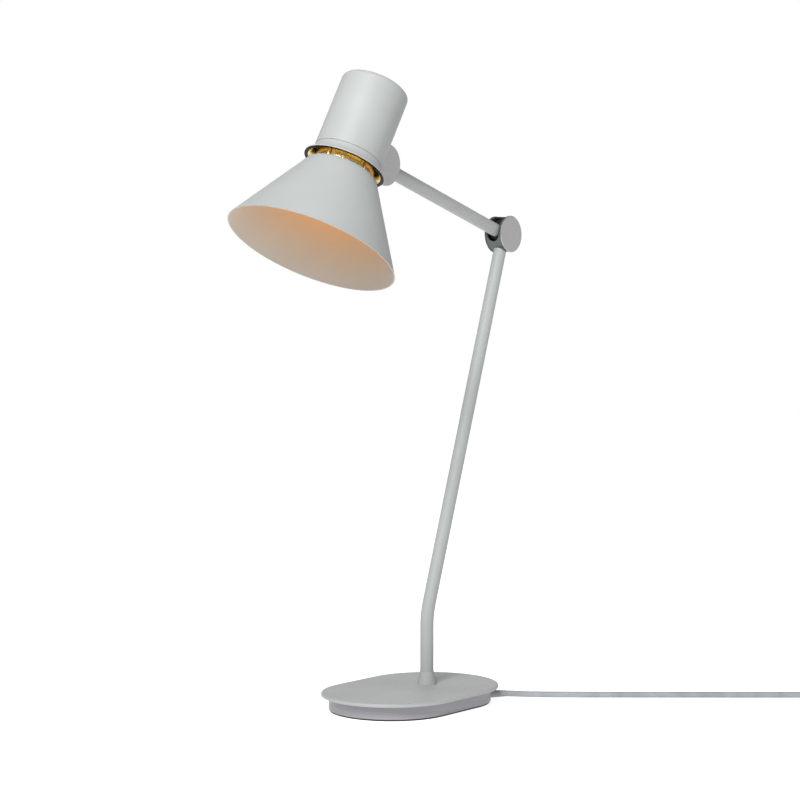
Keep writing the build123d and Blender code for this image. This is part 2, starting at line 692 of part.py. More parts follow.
with BuildPart() as arm_wire:
    with BuildSketch(along(ELBOW, ARM_DIRECTION, TUBE_STOP + EASY)):
        Circle(WIRE_DIA / 2)
    extrude(amount=ARM_TUBE_LENGTH - 2 * EASY)
save(arm_wire.part, "arm_wire")

save_on_head(joint_hub(HEAD_JOINT, ARM_DIRECTION * -1), "head_hub")
save_on_head(joint_washers(HEAD_JOINT), "head_washers")

# ------------------------------------------------------------------------- head

HEAD_BARREL_RADIUS = HEAD_DISC_RADIUS - DISC_LIP
FLARE_MIDDLE = (CAP_RADIUS + FLARE_STEP, BRIM + COLLAR_HEIGHT * FLARE_SHARE)
FLARE_INSIDE = (FLARE_MIDDLE[0] - FLARE_SHEET[0], FLARE_MIDDLE[1] - FLARE_SHEET[1])
COLLAR_TOP_RADIUS = CAP_RADIUS - COLLAR_TOP_STEP
LIP_INSIDE = BRIM_RADIUS - COLLAR_WALL

with BuildPart() as head_collar:
    with BuildSketch(HEAD_SECTION):
        with BuildLine():
            Line((LIP_INSIDE, BRIM), (BRIM_RADIUS, BRIM))
            Line((BRIM_RADIUS, BRIM), (BRIM_RADIUS, BRIM + BRIM_LIP))
            ThreePointArc((BRIM_RADIUS, BRIM + BRIM_LIP), FLARE_MIDDLE, (COLLAR_TOP_RADIUS, SEAM))
            Polyline(
                (COLLAR_TOP_RADIUS, SEAM),
                (SPIGOT_RADIUS, SEAM),
                (SPIGOT_RADIUS, SPIGOT_TOP),
                (LEDGE_RADIUS, SPIGOT_TOP),
                (LEDGE_RADIUS, LEDGE),
                (COLLAR_TOP_RADIUS, LEDGE),
            )
            ThreePointArc((COLLAR_TOP_RADIUS, LEDGE), FLARE_INSIDE, (LIP_INSIDE, BRIM))
        make_face()
    revolve(axis=HEAD_AXIS)
    # the barrel of the joint, and the web that carries it behind the collar
    with BuildSketch(joint_plane(HEAD_JOINT)):
        Circle(HEAD_BARREL_RADIUS)
    extrude(amount=BARREL_HALF, both=True)
    with BuildSketch(Plane(origin=MOUTH, x_dir=HEAD_BACKWARD, z_dir=(1, 0, 0))):
        with BuildLine():
            Polyline(
                (LEDGE_RADIUS + WEB_BITE, LEDGE),
                (COLLAR_TOP_RADIUS + WEB_BITE, LEDGE),
                (HEAD_OFFSET + HEAD_BARREL_RADIUS / 2, JOINT_HEIGHT - HEAD_BARREL_RADIUS / 2),
                (HEAD_OFFSET, JOINT_HEIGHT),
                (LEDGE_RADIUS + WEB_BITE, SPIGOT_TOP),
                close=True,
            )
        make_face()
    extrude(amount=WEB_HALF, both=True)
    with BuildSketch(joint_plane(HEAD_JOINT)):
        Circle(JOINT_BORE_RADIUS)
    extrude(amount=2 * JOINT_HALF, both=True, mode=Mode.SUBTRACT)
    for side in (-1, 1):
        with BuildSketch(joint_plane(HEAD_JOINT, side * BARREL_HALF)):
            Circle(HEAD_DISC_RADIUS + EASY)
        extrude(amount=side * (DISC_THICKNESS + NOTCH_CLEAR), mode=Mode.SUBTRACT)
    add(barrel_window(HEAD_JOINT, ARM_DIRECTION * -1, HEAD_BACK, HEAD_OUT), mode=Mode.SUBTRACT)
    with BuildSketch(Plane(origin=MOUTH + HEAD_UP * BRACKET_SCREW_HEIGHT, z_dir=(1, 0, 0))):
        Circle(BRACKET_SCREW_RADIUS + FIT)
    extrude(amount=SPIGOT_RADIUS - EASY, both=True, mode=Mode.SUBTRACT)
save_on_head(head_collar.part, "head_collar")

save_on_head(joint_disc(HEAD_JOINT, -1, HEAD_DISC_RADIUS), "head_disc_left")
save_on_head(joint_disc(HEAD_JOINT, 1, HEAD_DISC_RADIUS), "head_disc_right")
save_on_head(joint_axle(HEAD_JOINT), "head_axle")

SHADE_SLOPE = (MOUTH_RADIUS - SHADE_TOP_RADIUS) / SHADE_HEIGHT
SHEET_ACROSS = SHADE_SHEET * math.hypot(1, SHADE_SLOPE)
SHADE_UNDER = SHADE_HEIGHT - SHADE_SHEET
shade_outline = [
    (MOUTH_RADIUS - SHEET_ACROSS, 0),
    (MOUTH_RADIUS, 0),
    (SHADE_TOP_RADIUS, SHADE_HEIGHT),
    (SHADE_FLANGE_RADIUS, SHADE_HEIGHT),
    (SHADE_FLANGE_RADIUS, SHADE_UNDER),
    (SHADE_TOP_RADIUS - SHEET_ACROSS + SHADE_SHEET * SHADE_SLOPE, SHADE_UNDER),
]
ROLL_INSIDE = SHADE_ROLL - SHADE_SHEET
save_on_head(head_turning(shade_outline, [0, 0, SHADE_ROLL, 0, 0, ROLL_INSIDE]), "shade_cone")


def shift(point, across, down):
    """A point of an outline, moved inward by one amount and down by another."""
    return (point[0] - across, point[1] - down)


with BuildPart() as reflector_ring:
    with BuildSketch(HEAD_SECTION):
        with BuildLine():
            outside = [(COLLAR_TOP_RADIUS, LEDGE - EASY), FLARE_INSIDE, (LIP_INSIDE, BRIM + EASY)]
            back = [shift(point, EASY, EASY) for point in outside]
            front = [shift(point, EASY + REFLECTOR_SHEET, EASY + REFLECTOR_SHEET) for point in outside]
            ThreePointArc(*back)
            Line(back[2], front[2])
            ThreePointArc(*reversed(front))
            Line(front[0], back[0])
        make_face()
    revolve(axis=HEAD_AXIS)
save_on_head(reflector_ring.part, "reflector_ring")

with BuildPart() as halo_ring:
    with BuildSketch(head_plane(SHADE_HEIGHT)):
        Circle(LEDGE_RADIUS - FIT)
        Circle(LEDGE_RADIUS - FIT - HALO_SHEET, mode=Mode.SUBTRACT)
    extrude(amount=LEDGE + HALO_IN_COLLAR - SHADE_HEIGHT)
save_on_head(halo_ring.part, "halo_ring")

with BuildPart() as shade_posts:
    with BuildSketch(head_plane(SHADE_HEIGHT)):
        with PolarLocations(POST_CIRCLE, POST_COUNT, start_angle=POST_START - 90):
            Circle(POST_RADIUS)
    extrude(amount=LEDGE - SHADE_HEIGHT)
save_on_head(shade_posts.part, "shade_posts")

CAP_INSIDE = CAP_RADIUS - CAP_WALL
cap_outline = [
    (CAP_INSIDE, SEAM + EASY),
    (CAP_RADIUS, SEAM + EASY),
    (CAP_RADIUS, CAP_TOP),
    (SWITCH_NECK_RADIUS + FIT, CAP_TOP),
    (SWITCH_NECK_RADIUS + FIT, SWITCH_SEAT),
    (CAP_INSIDE, SWITCH_SEAT),
]
cap_shell = head_turning(cap_outline, [0, 0, CAP_ROLL, 0, 0, CAP_ROLL - CAP_WALL])
with BuildPart() as head_cap:
    add(cap_shell)
    notch_radius = HEAD_DISC_RADIUS + NOTCH_CLEAR
    notch_half = JOINT_HALF + NOTCH_CLEAR
    with BuildSketch(joint_plane(HEAD_JOINT)):
        Circle(notch_radius)
    extrude(amount=notch_half, both=True, mode=Mode.SUBTRACT)
    with BuildSketch(Plane(origin=HEAD_JOINT, x_dir=HEAD_BACKWARD, z_dir=(1, 0, 0))):
        Rectangle(2 * notch_radius, JOINT_HEIGHT - SEAM, align=(Align.CENTER, Align.MAX))
    extrude(amount=notch_half, both=True, mode=Mode.SUBTRACT)
save_on_head(head_cap.part, "head_cap")

# ------------------------------------------------------------ lamp holder and bulb

strap = [
    (-BRACKET_LEG, BRACKET_FOOT),
    (-BRACKET_LEG, HOLDER_TOP),
    (BRACKET_LEG, HOLDER_TOP),
    (BRACKET_LEG, BRACKET_FOOT),
    (BRACKET_HALF_SPAN, BRACKET_FOOT),
    (BRACKET_HALF_SPAN, BRACKET_TOP),
    (-BRACKET_HALF_SPAN, BRACKET_TOP),
    (-BRACKET_HALF_SPAN, BRACKET_FOOT),
]
with BuildPart() as holder_bracket:
    with BuildSketch(HEAD_SECTION):
        with BuildLine():
            bends = [0, STRAP_BEND - BRACKET_SHEET] + [STRAP_BEND - BRACKET_SHEET, 0]
            bends += [0, STRAP_BEND, STRAP_BEND, 0]
            FilletPolyline(*strap, radius=bends, close=True)
        make_face()
    extrude(amount=BRACKET_WIDTH / 2, both=True)
    with BuildSketch(head_plane(HOLDER_TOP)):
        Circle(NIPPLE_RADIUS + FIT)
    extrude(amount=BRACKET_SHEET, mode=Mode.SUBTRACT)
    with BuildSketch(Plane(origin=MOUTH + HEAD_UP * BRACKET_SCREW_HEIGHT, z_dir=(1, 0, 0))):
        Circle(BRACKET_SCREW_RADIUS + FIT)
    extrude(amount=2 * BRACKET_HALF_SPAN, both=True, mode=Mode.SUBTRACT)
save_on_head(holder_bracket.part, "holder_bracket")

with BuildPart() as bracket_screws:
    for side in (-1, 1):
        start = MOUTH + HEAD_UP * BRACKET_SCREW_HEIGHT + Vector(side * BRACKET_LEG, 0, 0)
        outward = Plane(origin=start, z_dir=(side, 0, 0))
        with BuildSketch(outward):
            Circle(BRACKET_SCREW_RADIUS)
        extrude(amount=SPIGOT_RADIUS - BRACKET_LEG - 2 * EASY)
        with BuildSketch(outward):
            Circle(SCREW_HEAD_RADIUS)
        extrude(amount=-SCREW_HEAD_HEIGHT)
save_on_head(bracket_screws.part, "bracket_screws")

SLEEVE_RADIUS = BULB_BASE_RADIUS + SLEEVE_CLEAR + SLEEVE_WALL
SLEEVE_TOP = BULB_BASE + BULB_BASE_LENGTH
BASE_FLOOR = HOLDER_TOP - HOLDER_ROOF
holder_outline = [
    (SLEEVE_RADIUS + FIT, BULB_BASE),
    (HOLDER_RADIUS, BULB_BASE),
    (HOLDER_RADIUS, HOLDER_TOP),
    (NIPPLE_RADIUS + FIT, HOLDER_TOP),
    (NIPPLE_RADIUS + FIT, BASE_FLOOR),
    (SLEEVE_RADIUS + FIT, BASE_FLOOR),
]
save_on_head(head_turning(holder_outline, [0, 0, HOLDER_ROLL, 0, 0, 0]), "lamp_holder")

sleeve_outline = [
    (SLEEVE_RADIUS - SLEEVE_WALL, BULB_BASE + SLEEVE_LIFT),
    (SLEEVE_RADIUS, BULB_BASE + SLEEVE_LIFT),
    (SLEEVE_RADIUS, SLEEVE_TOP),
    (SLEEVE_RADIUS - SLEEVE_WALL, SLEEVE_TOP),
]
save_on_head(head_turning(sleeve_outline, [0, 0, 0, 0]), "holder_sleeve")

CONTACT_TOP = SLEEVE_TOP + CONTACT_LENGTH
INSULATOR_BOTTOM = CONTACT_TOP + CONTACT_STRIP
insulator_outline = [
    (0, INSULATOR_BOTTOM),
    (SLEEVE_RADIUS - SLEEVE_WALL, INSULATOR_BOTTOM),
    (SLEEVE_RADIUS - SLEEVE_WALL, BASE_FLOOR - INSULATOR_GAP),
    (0, BASE_FLOOR - INSULATOR_GAP),
]
save_on_head(head_turning(insulator_outline, [0, 0, 0, 0]), "holder_insulator")
strip_outline = [(0, CONTACT_TOP), (CONTACT_RADIUS, CONTACT_TOP), (CONTACT_RADIUS, INSULATOR_BOTTOM)]
strip_outline += [(0, INSULATOR_BOTTOM)]
save_on_head(head_turning(strip_outline, [0, 0, 0, 0]), "holder_contact")

with BuildPart() as holder_nipple:
    with BuildSketch(head_plane(BASE_FLOOR)):
        Circle(NIPPLE_RADIUS)
        Circle(NIPPLE_BORE, mode=Mode.SUBTRACT)
    extrude(amount=BRACKET_TOP + HOLDER_NUT - BASE_FLOOR)
save_on_head(holder_nipple.part, "holder_nipple")

with BuildPart() as holder_nut:
    with BuildSketch(head_plane(BRACKET_TOP)):
        RegularPolygon(NUT_FLATS, 6, major_radius=False)
        Circle(NIPPLE_RADIUS + FIT, mode=Mode.SUBTRACT)
    extrude(amount=HOLDER_NUT)
save_on_head(holder_nut.part, "holder_nut")

BULB_CENTRE = BULB_TIP + BULB_RADIUS
NECK_LEAN = math.radians(BULB_NECK_LEAN)


def bulb_face(shrink):
    """Half the outline of the bulb's glass, drawn in by the thickness of the glass."""
    round_radius = BULB_RADIUS - shrink
    neck = BULB_NECK_RADIUS - shrink
    shoulder = (round_radius * math.cos(NECK_LEAN), BULB_CENTRE + round_radius * math.sin(NECK_LEAN))
    with BuildSketch(HEAD_SECTION) as face:
        with BuildLine():
            Line((0, BULB_BASE), (0, BULB_CENTRE - round_radius))
            ThreePointArc((0, BULB_CENTRE - round_radius), (round_radius, BULB_CENTRE), shoulder)
            Spline(
                shoulder,
                (neck, BULB_BASE),
                tangents=[(-math.sin(NECK_LEAN), math.cos(NECK_LEAN)), (0, 1)],
            )
            Line((neck, BULB_BASE), (0, BULB_BASE))
        make_face()
    return face.sketch


with BuildPart() as bulb_glass:
    revolve(bulb_face(0), axis=HEAD_AXIS)
    revolve(bulb_face(BULB_SHEET), axis=HEAD_AXIS, mode=Mode.SUBTRACT)
save_on_head(bulb_glass.part, "bulb_glass")

base_outline = [
    (0, BULB_BASE),
    (BULB_BASE_RADIUS, BULB_BASE),
    (BULB_BASE_RADIUS, SLEEVE_TOP - BASE_TAPER),
    (CONTACT_RADIUS, SLEEVE_TOP),
    (0, SLEEVE_TOP),
]
save_on_head(head_turning(base_outline, [0, 0, 0, 0, 0]), "bulb_base")
tip_outline = [(0, SLEEVE_TOP), (CONTACT_RADIUS, SLEEVE_TOP), (CONTACT_RADIUS, CONTACT_TOP)]
tip_outline += [(0, CONTACT_TOP)]
save_on_head(head_turning(tip_outline, [0, 0, 0, 0]), "bulb_contact")

# ------------------------------------------------------------------ switch

SWITCH_BOTTOM = SWITCH_SEAT - SWITCH_LENGTH
NECK_TOP = CAP_TOP + SWITCH_NECK_LENGTH - CAP_WALL
BUTTON_BORE = BUTTON_RADIUS + BUTTON_FIT
FLANGE_BORE = BUTTON_RADIUS + BUTTON_FLANGE + 2 * BUTTON_FIT
FLANGE_TOP = SWITCH_SEAT - SWITCH_ROOF
switch_outline = [
    (0, SWITCH_BOTTOM),
    (SWITCH_RADIUS, SWITCH_BOTTOM),
    (SWITCH_RADIUS, SWITCH_SEAT),
    (SWITCH_NECK_RADIUS, SWITCH_SEAT),
    (SWITCH_NECK_RADIUS, NECK_TOP),
    (BUTTON_BORE, NECK_TOP),
    (BUTTON_BORE, FLANGE_TOP),
    (FLANGE_BORE, FLANGE_TOP),
    (FLANGE_BORE, SWITCH_BOTTOM + SWITCH_FLOOR),
    (0, SWITCH_BOTTOM + SWITCH_FLOOR),
]
save_on_head(head_turning(switch_outline, [0] * len(switch_outline)), "switch_body")

nut_outline = [
    (SWITCH_NECK_RADIUS + FIT, CAP_TOP),
    (SWITCH_NUT_RADIUS, CAP_TOP),
    (SWITCH_NUT_RADIUS, CAP_TOP + SWITCH_NUT_HEIGHT),
    (SWITCH_NECK_RADIUS + FIT, CAP_TOP + SWITCH_NUT_HEIGHT),
]
save_on_head(head_turning(nut_outline, [0] * len(nut_outline)), "switch_nut")

BUTTON_TOP = NECK_TOP + BUTTON_PROUD
BUTTON_FOOT = FLANGE_TOP - BUTTON_FLANGE_HEIGHT
button_outline = [
    (0, BUTTON_FOOT),
    (BUTTON_RADIUS + BUTTON_FLANGE, BUTTON_FOOT),
    (BUTTON_RADIUS + BUTTON_FLANGE, FLANGE_TOP),
    (BUTTON_RADIUS, FLANGE_TOP),
    (BUTTON_RADIUS, BUTTON_TOP),
    (0, BUTTON_TOP),
]
save_on_head(head_turning(button_outline, [0, 0, 0, 0, BUTTON_ROUND, 0]), "switch_button")

# --------------------------------------------------------------------- mains lead

NOSE_START = GLAND_FACE + FIT + GLAND_RIM
GLAND_TIP = NOSE_START + GLAND_NOSE
NOSE_RADIUS = CORD_RADIUS + GLAND_NOSE_WALL
with BuildPart() as cord_gland:
    for start, length, radius in (
        (GLAND_INSIDE, GLAND_FLANGE, GLAND_FLANGE_DIA / 2),
        (GLAND_INSIDE, GLAND_FACE - GLAND_INSIDE + FIT, GLAND_SLEEVE_DIA / 2),
        (GLAND_FACE + FIT, GLAND_RIM, GLAND_RIM_DIA / 2),
    ):
        with BuildSketch(radial_plane(start, GLAND_Z)):
            Circle(radius)
        extrude(amount=length)
    with BuildSketch(radial_plane(NOSE_START, GLAND_Z)):
        Circle(GLAND_SLEEVE_DIA / 2)
    with BuildSketch(radial_plane(GLAND_TIP, GLAND_Z)):
        Circle(NOSE_RADIUS)
    loft()
save(cord_gland.part, "cord_gland")

EXIT = ARC_CENTRE + GLAND_DIRECTION * GLAND_TIP


def past_exit(x, y, z):
    """A point of the lead, across from the gland's tip and at a height above the desk."""
    return Vector(EXIT.X + x, EXIT.Y + y, z)


# The lead leaves the gland, drops to the desk and runs straight away to the right,
# then turns a little into the coil. The points are chosen by hand.
CORD_POINTS = [
    past_exit(0, 0, GLAND_Z),
    past_exit(7.7, 8.7, 3.8),
    past_exit(24.7, 21.0, CORD_Z),
    past_exit(230.4, 182.0, CORD_Z),
    past_exit(269.1, 207.4, CORD_RADIUS + COIL_LIFT),
]


def corner_radii(points, share=0.45):
    """The largest even arc for each corner of a route: a share of its shorter run."""
    radii = []
    for before, here, after in zip(points, points[1:], points[2:]):
        half_turn = math.radians((here - before).get_angle(after - here)) / 2
        shorter = min((here - before).length, (after - here).length)
        radii.append(share * shorter / math.tan(half_turn))
    return radii


def cord_tube(points):
    """A round lead along straight runs joined by tangent arcs."""
    radii = corner_radii(points)
    print("cord radii", [round(radius, 1) for radius in radii])
    with BuildPart() as tube:
        with BuildLine() as route:
            FilletPolyline(*points, radius=radii)
        with BuildSketch(Plane(origin=points[0], z_dir=points[1] - points[0])):
            Circle(CORD_RADIUS)
        sweep(path=route.line)
    length = sum(edge.length for edge in route.edges())
    section = math.pi * CORD_RADIUS**2
    print("cord length", round(length, 1), "volume share", tube.part.volume / section / length)
    return tube.part


save(cord_tube(CORD_POINTS), "mains_cord")

# The coil stands where the straight stretch of the lead ends, on the strap that ties it.
COIL_TURN = (COIL_COLUMNS - 1) / 2 * CORD_DIA
COIL_OUTER = COIL_MEAN_RADIUS + COIL_TURN + CORD_RADIUS
COIL_INNER = COIL_MEAN_RADIUS - COIL_TURN - CORD_RADIUS
COIL_HEIGHT = COIL_LAYERS * CORD_DIA
COIL_ENTRY = CORD_POINTS[-1]
LAST_RUN = COIL_ENTRY - CORD_POINTS[-2]
COIL_HEADING = Vector(LAST_RUN.X, LAST_RUN.Y, 0).normalized()
COIL_SIDE = Vector(0, 0, 1).cross(COIL_HEADING)
COIL_CENTRE = COIL_ENTRY + COIL_SIDE * (COIL_MEAN_RADIUS + COIL_TURN)
COIL_FLOOR = Plane(origin=(COIL_CENTRE.X, COIL_CENTRE.Y, COIL_LIFT), x_dir=COIL_HEADING, z_dir=(0, 0, 1))

with BuildPart() as cord_coil:
    with BuildSketch(COIL_FLOOR):
        Circle(COIL_OUTER)
        Circle(COIL_INNER, mode=Mode.SUBTRACT)
    extrude(amount=COIL_HEIGHT)
    fillet(cord_coil.edges().filter_by(GeomType.CIRCLE), CORD_RADIUS - EASY)
save(cord_coil.part, "cord_coil")

TIE_INSIDE = (COIL_OUTER - COIL_INNER + 2 * TIE_SIDE_GAP, COIL_HEIGHT + 2 * TIE_END_GAP)
tie_middle = COIL_CENTRE + COIL_HEADING * COIL_MEAN_RADIUS * -1
tie_middle.Z = COIL_LIFT + COIL_HEIGHT / 2
with BuildPart() as cord_tie:
    with BuildSketch(Plane(origin=tie_middle, x_dir=COIL_HEADING, z_dir=COIL_SIDE)):
        RectangleRounded(TIE_INSIDE[0] + 2 * TIE_SHEET, TIE_INSIDE[1] + 2 * TIE_SHEET, TIE_CORNER)
        RectangleRounded(*TIE_INSIDE, TIE_CORNER - TIE_SHEET, mode=Mode.SUBTRACT)
    extrude(amount=TIE_WIDTH / 2, both=True)
save(cord_tie.part, "cord_tie")


def beyond_coil(ahead, aside, z):
    """A point past the coil's entry, ahead along the lead and aside to its left."""
    spot = COIL_ENTRY + COIL_HEADING * ahead + COIL_SIDE * aside
    return Vector(spot.X, spot.Y, z)


PLUG_Z = PLUG_HEIGHT / 2 + CORD_LIFT
PLUG_LEAD_POINTS = [
    beyond_coil(0, 0, COIL_LIFT + COIL_HEIGHT - CORD_RADIUS),
    beyond_coil(23, 0, 16.0),
    beyond_coil(48, 5, PLUG_Z),
    beyond_coil(68, 16, PLUG_Z),
]
save(cord_tube(PLUG_LEAD_POINTS), "plug_lead")

RELIEF_TIP_RADIUS = CORD_RADIUS + RELIEF_WALL
PLUG_HEADING = (PLUG_LEAD_POINTS[-1] - PLUG_LEAD_POINTS[-2]).normalized()


def plug_plane(distance):
    """A plane square to the plug, its own x across the pins and its y upwards."""
    origin = PLUG_LEAD_POINTS[-1] + PLUG_HEADING * distance
    return Plane(origin=origin, x_dir=Vector(0, 0, 1).cross(PLUG_HEADING), z_dir=PLUG_HEADING)


with BuildPart() as mains_plug:
    with BuildSketch(plug_plane(RELIEF_LENGTH)):
        RectangleRounded(PLUG_NOSE, PLUG_HEIGHT - 2 * EASY, PLUG_CORNER)
    with BuildSketch(plug_plane(RELIEF_LENGTH + PLUG_LENGTH / 2)):
        RectangleRounded(PLUG_WIDTH, PLUG_HEIGHT, PLUG_CORNER)
    loft()
    with BuildSketch(plug_plane(RELIEF_LENGTH + PLUG_LENGTH / 2)):
        RectangleRounded(PLUG_WIDTH, PLUG_HEIGHT, PLUG_CORNER)
    extrude(amount=PLUG_LENGTH / 2)
    with BuildSketch(plug_plane(0)):
        Circle(RELIEF_TIP_RADIUS)
    with BuildSketch(plug_plane(RELIEF_LENGTH)):
        Circle(RELIEF_BASE_RADIUS)
    loft()
save(mains_plug.part, "mains_plug")

PLUG_AXIS = Axis(tuple(PLUG_LEAD_POINTS[-1]), tuple(PLUG_HEADING))
with BuildPart() as plug_pins:
    with BuildSketch(plug_plane(RELIEF_LENGTH + PLUG_LENGTH)):
        with GridLocations(PIN_SPACING, 0, 2, 1):
            Circle(PIN_DIA / 2)
    extrude(amount=PIN_LENGTH)
    fillet(plug_pins.faces().sort_by(PLUG_AXIS)[-2:].edges(), PIN_DIA / 4)
save(plug_pins.part, "plug_pins")
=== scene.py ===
"""The architect desk lamp's looks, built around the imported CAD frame. Metres, +Z up."""

import json
import math

import bpy
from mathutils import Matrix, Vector


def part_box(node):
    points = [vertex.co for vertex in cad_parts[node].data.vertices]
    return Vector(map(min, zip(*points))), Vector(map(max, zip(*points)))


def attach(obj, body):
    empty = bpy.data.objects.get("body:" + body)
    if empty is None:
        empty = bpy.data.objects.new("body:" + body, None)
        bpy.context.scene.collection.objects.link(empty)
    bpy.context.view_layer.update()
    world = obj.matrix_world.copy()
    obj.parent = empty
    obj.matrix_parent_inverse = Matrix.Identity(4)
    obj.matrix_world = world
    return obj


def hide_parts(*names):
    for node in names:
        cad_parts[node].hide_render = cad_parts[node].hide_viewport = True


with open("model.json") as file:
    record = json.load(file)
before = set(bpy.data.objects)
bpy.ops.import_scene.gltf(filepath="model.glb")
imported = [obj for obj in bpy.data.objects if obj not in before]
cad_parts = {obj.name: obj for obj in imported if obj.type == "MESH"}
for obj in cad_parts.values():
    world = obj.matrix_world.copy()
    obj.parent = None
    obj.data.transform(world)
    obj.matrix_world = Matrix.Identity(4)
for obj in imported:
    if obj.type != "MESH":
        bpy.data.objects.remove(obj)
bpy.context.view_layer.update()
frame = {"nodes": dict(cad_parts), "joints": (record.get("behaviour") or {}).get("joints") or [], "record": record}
scene = bpy.context.scene
nodes = frame["nodes"]

# ------------------------------------------------------------------ camera

CAMERA_AZIMUTH = 37.46  # degrees, where the camera stands, turned from straight in front
CAMERA_YAW = 38.26  # degrees, where it looks
CAMERA_PITCH = -1.72
CAMERA_DISTANCE = 1.887  # from the stem's foot
CAMERA_HEIGHT = 0.345
STEM_FOOT_Y = 0.0261
LENS = 89.17  # millimetres, as the sensor
SENSOR = 36.0
CLIP_END = 20


def place_camera():
    """The view of the lamp from its front right, a little above the desk."""
    data = bpy.data.cameras.new("camera")
    camera = bpy.data.objects.new("camera", data)
    scene.collection.objects.link(camera)
    turn = math.radians(CAMERA_AZIMUTH)
    camera.location = (
        CAMERA_DISTANCE * math.sin(turn),
        STEM_FOOT_Y - CAMERA_DISTANCE * math.cos(turn),
        CAMERA_HEIGHT,
    )
    pitch = math.radians(90 + CAMERA_PITCH)
    camera.rotation_euler = (pitch, 0, math.radians(CAMERA_YAW))
    data.lens = LENS
    data.sensor_width = SENSOR
    data.clip_end = CLIP_END
    data.dof.use_dof = False
    scene.camera = camera


place_camera()
scene.view_settings.view_transform = "Standard"

# ------------------------------------------------------------------ the lead

CORD_DIAMETER = 0.0058
CORD_RADIUS = CORD_DIAMETER / 2
CORD_CLEARANCE = 0.00005  # between the lead and the floor
CORD_FLOOR = CORD_RADIUS + CORD_CLEARANCE
COIL_LIFT = 0.001  # the lowest turns, above the lead that passes under them
COIL_COLUMNS = 2
COIL_LAYERS = 4
COIL_MEAN_RADIUS = 0.032
POINTS_PER_TURN = 24
SLIDE_START, SLIDE_SHARE = 0.7, 0.3  # shares of a turn
CORD_SIDES = 6  # the curve's bevel resolution
CORD_STEPS = 8  # its points per stretch

# The route's own points, from the strain relief to where the coil begins.
CORD_POINTS = [
    Vector((0.04831, 0.08657, 0.0045)),
    Vector((0.0560, 0.0953, 0.0038)),
    Vector((0.0730, 0.1076, CORD_FLOOR)),
    Vector((0.2787, 0.2686, CORD_FLOOR)),
    Vector((0.3174, 0.2940, CORD_RADIUS + COIL_LIFT)),
]
ENTRY = CORD_POINTS[-1]
HEADING = (ENTRY - CORD_POINTS[-2]).to_2d().normalized().to_3d()
SIDE = Vector((-HEADING.y, HEADING.x, 0))


def beyond_coil(ahead, aside, height):
    """A point past the coil's entry, ahead along the lead and aside to its left."""
    spot = ENTRY + HEADING * ahead + SIDE * aside
    return Vector((spot.x, spot.y, height))


COIL_TOP_TURN = COIL_LIFT + COIL_LAYERS * CORD_DIAMETER - CORD_RADIUS
PLUG_AXIS_HEIGHT = 0.00685
PLUG_LEAD_POINTS = [
    beyond_coil(0.023, 0, 0.016),
    beyond_coil(0.048, 0.005, PLUG_AXIS_HEIGHT),
    beyond_coil(0.068, 0.016, PLUG_AXIS_HEIGHT),
]


def smooth_step(share):
    """0 to 1 with level ends."""
    share = min(max(share, 0.0), 1.0)
    return share * share * (3 - 2 * share)


def coil_points():
    """Turns in layers of two, each sliding to the next one's place near its end."""
    outer, inner = COIL_MEAN_RADIUS + CORD_RADIUS, COIL_MEAN_RADIUS - CORD_RADIUS
    centre = ENTRY + SIDE * outer
    places = []
    for layer in range(COIL_LAYERS):
        columns = (outer, inner) if layer % 2 == 0 else (inner, outer)
        height = CORD_RADIUS + COIL_LIFT + layer * CORD_DIAMETER
        places += [(radius, height) for radius in columns]
    places.append(places[-1])
    points = []
    for turn in range(COIL_COLUMNS * COIL_LAYERS):
        for step in range(POINTS_PER_TURN):
            share = step / POINTS_PER_TURN
            slide = smooth_step((share - SLIDE_START) / SLIDE_SHARE)
            here, after = places[turn], places[turn + 1]
            radius = here[0] + (after[0] - here[0]) * slide
            height = here[1] + (after[1] - here[1]) * slide
            angle = math.tau * share
            ahead, aside = radius * math.sin(angle), radius * math.cos(angle)
            spot = centre + HEADING * ahead - SIDE * aside
            points.append(Vector((spot.x, spot.y, height)))
    points.append(Vector((ENTRY.x, ENTRY.y, COIL_TOP_TURN)))
    return points


def make_cord():
    """The mains lead as one smooth curve: the straight stretch, the coil and the plug's end."""
    points = CORD_POINTS[:-1] + coil_points() + PLUG_LEAD_POINTS
    curve = bpy.data.curves.new("mains_lead", "CURVE")
    curve.dimensions = "3D"
    curve.bevel_depth = 1.0  # times each point's radius, which keeps the curve's box tight
    curve.bevel_resolution = CORD_SIDES
    curve.resolution_u = CORD_STEPS
    curve.use_fill_caps = True
    spline = curve.splines.new("NURBS")
    spline.points.add(len(points) - 1)
    for place, point in zip(spline.points, points):
        place.co = (*point, 1)
        place.radius = CORD_RADIUS
    spline.order_u = 3
    spline.use_endpoint_u = True
    lead = bpy.data.objects.new("mains_lead", curve)
    scene.collection.objects.link(lead)
    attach(lead, "base")
    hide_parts("mains_cord", "cord_coil", "plug_lead")
    return lead


# ------------------------------------------------------------------ joints and the head's line

joints = {joint["name"]: joint for joint in frame["joints"]}
elbow_hinge, head_hinge = joints["elbow_hinge"], joints["head_hinge"]
# The head's own line runs through its switch, the way that the switch slides.
HEAD_UP = -Vector(joints["switch_press"]["axis"])
HEAD_LINE = sum(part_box("switch_nut"), Vector()) / 2
BORE_REACH = 0.0165  # faces nearer to a joint's axis than this can be its bore's
SHADED_RIM_BAND = 0.0007  # the reflector's edge under the collar's lip, painted dark as painted shade there

# Cosines between a face's normal and a line, below which the face takes another finish.
LEVEL_UNDERSIDE = -0.9
COLLAR_SHADED_UNDERSIDE = -0.4
DISC_BEVEL = 0.98
DISC_EDGE = 0.3

# ------------------------------------------------------------------ materials


